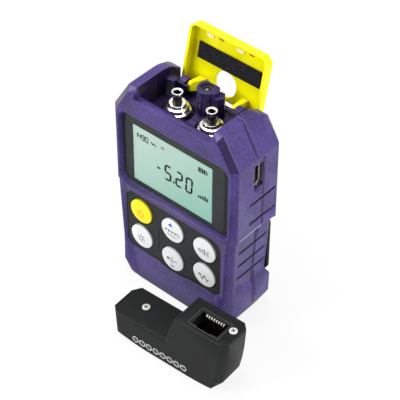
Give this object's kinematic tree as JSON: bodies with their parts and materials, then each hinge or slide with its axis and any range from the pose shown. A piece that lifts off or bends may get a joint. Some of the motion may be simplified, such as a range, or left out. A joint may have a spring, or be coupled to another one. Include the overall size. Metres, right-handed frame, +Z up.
{
  "type": "optical power meter",
  "caption": "Pocket optical power meter with a display, six keys, two ferrule ports under a hinged cover, a torch, and a cable test remote standing in front of it.",
  "frame": {"origin": "on the flat of the meter's foot, half way between the face and the back, in the middle of its width", "axes": "+X to the right as the face is read, +Y from the face to the back, +Z up from the foot to the ports"},
  "size_m": [0.0727, 0.0582, 0.1022],
  "materials": {
    "purple_plastic": "fine moulded texture",
    "charcoal_plastic": "satin",
    "white_rubber": "matte",
    "yellow_rubber": "matte",
    "yellow_plastic": "smooth",
    "black_plastic": "satin",
    "black_foam": "open cell",
    "display_window": "clear",
    "display_print": "printed film",
    "liquid_crystal": "matte polariser",
    "light_guide": "clear moulded",
    "plated_nickel": "polished",
    "steel": "plated",
    "gold_contact": "plated",
    "circuit_board": "solder mask",
    "switch_body": "moulded",
    "battery_wrap": "shrink wrap",
    "module_can": "turned",
    "lamp_clear": "clear resin",
    "lamp_white": "diffuse resin"
  },
  "bodies": {
    "housing": {"front_shell": "purple_plastic", "rear_shell": "purple_plastic", "display_lens": "display_window", "display_mask": "display_print", "lcd_panel": "liquid_crystal", "lcd_backlight": "light_guide", "keypad_panel": "charcoal_plastic", "key_switches": "switch_body", "main_board": "circuit_board", "battery_pack": "battery_wrap", "battery_door": "black_plastic", "battery_door_screws": "steel", "case_screws": "steel", "usb_shell": "steel", "usb_tongue": "switch_body", "power_port_nut": "plated_nickel", "power_port_sleeve": "plated_nickel", "fault_port_nut": "plated_nickel", "fault_port_sleeve": "plated_nickel", "photodiode_module": "module_can", "laser_module": "module_can", "torch_housing": "purple_plastic", "torch_lamp": "lamp_clear"},
    "power_key": {"key_power": "yellow_rubber"},
    "light_key": {"key_light": "white_rubber"},
    "up_key": {"key_up": "white_rubber"},
    "down_key": {"key_down": "white_rubber"},
    "torch_key": {"key_torch": "white_rubber"},
    "wavelength_key": {"key_wavelength": "white_rubber"},
    "cover": {"port_cover": "yellow_plastic", "cover_foam": "black_foam"},
    "remote": {"remote_case": "black_plastic", "remote_low_lid": "black_plastic", "remote_high_lid": "black_plastic", "remote_screws": "steel", "remote_jack_shield": "steel", "remote_jack_insert": "black_plastic", "remote_jack_contacts": "gold_contact", "remote_board": "circuit_board", "remote_lamps": "lamp_white"}
  },
  "joints": [
    {"name": "power_key_press", "type": "slide", "parent": "housing", "child": "power_key", "axis": [0, 1, 0], "range_m": [0, 0.0006], "stiffness_N_per_m": 600, "springref_m": -0.0005},
    {"name": "light_key_press", "type": "slide", "parent": "housing", "child": "light_key", "axis": [0, 1, 0], "range_m": [0, 0.0006], "stiffness_N_per_m": 600, "springref_m": -0.0005},
    {"name": "up_key_press", "type": "slide", "parent": "housing", "child": "up_key", "axis": [0, 1, 0], "range_m": [0, 0.0006], "stiffness_N_per_m": 600, "springref_m": -0.0005},
    {"name": "down_key_press", "type": "slide", "parent": "housing", "child": "down_key", "axis": [0, 1, 0], "range_m": [0, 0.0006], "stiffness_N_per_m": 600, "springref_m": -0.0005},
    {"name": "torch_key_press", "type": "slide", "parent": "housing", "child": "torch_key", "axis": [0, 1, 0], "range_m": [0, 0.0006], "stiffness_N_per_m": 600, "springref_m": -0.0005},
    {"name": "wavelength_key_press", "type": "slide", "parent": "housing", "child": "wavelength_key", "axis": [0, 1, 0], "range_m": [0, 0.0006], "stiffness_N_per_m": 600, "springref_m": -0.0005},
    {"name": "cover_hinge", "type": "hinge", "parent": "housing", "child": "cover", "pos_m": [0, 0.0092, 0.0819], "axis": [1, 0, 0], "range_deg": [0, 102.4]},
    {"name": "remote_slide", "type": "slide", "parent": "housing", "child": "remote", "axis": [0, -1, 0], "range_m": [0, 0.03]}
  ]
}
